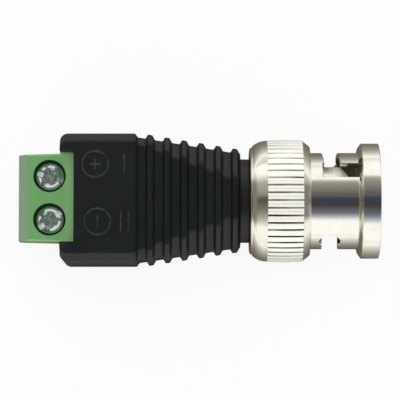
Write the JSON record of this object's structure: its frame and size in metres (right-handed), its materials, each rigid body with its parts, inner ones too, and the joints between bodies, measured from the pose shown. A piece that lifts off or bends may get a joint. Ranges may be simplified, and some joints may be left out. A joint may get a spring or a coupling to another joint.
{
  "type": "bnc screw terminal adapter",
  "caption": "BNC plug adapter: bayonet coupling nut on a ribbed black housing, with a green screw terminal block for the signal and ground wires of a camera cable.",
  "frame": {"origin": "centre of the plug's open mouth, on the front face of the coupling nut's flange", "axes": "+X along the plug's axis and out of its mouth; +Z the way the clamp screws face; +Y to the side of clamp 1"},
  "size_m": [0.0423, 0.015, 0.0144],
  "materials": {
    "black_moulding": "satin moulded black",
    "green_moulding": "satin moulded green",
    "nickel_plate": "bright warm nickel plate on a turned casting",
    "zinc_screw": "zinc plated",
    "clamp_metal": "nickel plated brass",
    "gold_plate": "gold plated",
    "tinned_contact": "tin plated",
    "white_insulator": "turned white plastic",
    "seal_rubber": "silicone",
    "spring_steel": "bright spring steel",
    "bare_wire": "tinned copper",
    "wire_tubing": "soft insulation"
  },
  "bodies": {
    "adapter": {"housing": "black_moulding", "terminal_body": "green_moulding", "contact_1": "tinned_contact", "contact_2": "tinned_contact", "plug_body": "nickel_plate", "insulator": "white_insulator", "rear_insulator": "white_insulator", "centre_pin": "gold_plate", "gasket": "seal_rubber", "wave_washer_1": "spring_steel", "wave_washer_2": "spring_steel", "signal_link": "bare_wire", "link_tubing": "wire_tubing", "ground_link": "bare_wire"},
    "thrust_ring": {"thrust_washer": "spring_steel"},
    "nut": {"coupling_nut": "nickel_plate", "retaining_washer": "spring_steel"},
    "clamp_screw_1": {"screw_1": "zinc_screw"},
    "clamp_screw_2": {"screw_2": "zinc_screw"},
    "clamp_cage_1": {"cage_1": "clamp_metal"},
    "clamp_cage_2": {"cage_2": "clamp_metal"}
  },
  "joints": [
    {"name": "nut_slide", "type": "slide", "parent": "adapter", "child": "thrust_ring", "axis": [1, 0, 0], "range_m": [0, 0.0006], "stiffness_N_per_m": 8000, "deforming": ["wave_washer_1", "wave_washer_2"]},
    {"name": "nut_turn", "type": "hinge", "parent": "thrust_ring", "child": "nut", "pos_m": [-0.0113, 0, 0], "axis": [1, 0, 0], "continuous": true},
    {"name": "screw_1_turn", "type": "hinge", "parent": "adapter", "child": "clamp_screw_1", "pos_m": [-0.03866, 0.00254, 0.003], "axis": [0, 0, 1], "range_deg": [-1260, 0]},
    {"name": "cage_1_lift", "type": "slide", "parent": "adapter", "child": "clamp_cage_1", "axis": [0, 0, 1], "range_m": [0, 0.00175]},
    {"name": "screw_2_turn", "type": "hinge", "parent": "adapter", "child": "clamp_screw_2", "pos_m": [-0.03866, -0.00254, 0.003], "axis": [0, 0, 1], "range_deg": [-1260, 0]},
    {"name": "cage_2_lift", "type": "slide", "parent": "adapter", "child": "clamp_cage_2", "axis": [0, 0, 1], "range_m": [0, 0.00175]}
  ],
  "couplings": [
    {"joint": "screw_1_turn", "follows": "cage_1_lift", "rad_per_m": -12566},
    {"joint": "screw_2_turn", "follows": "cage_2_lift", "rad_per_m": -12566}
  ]
}
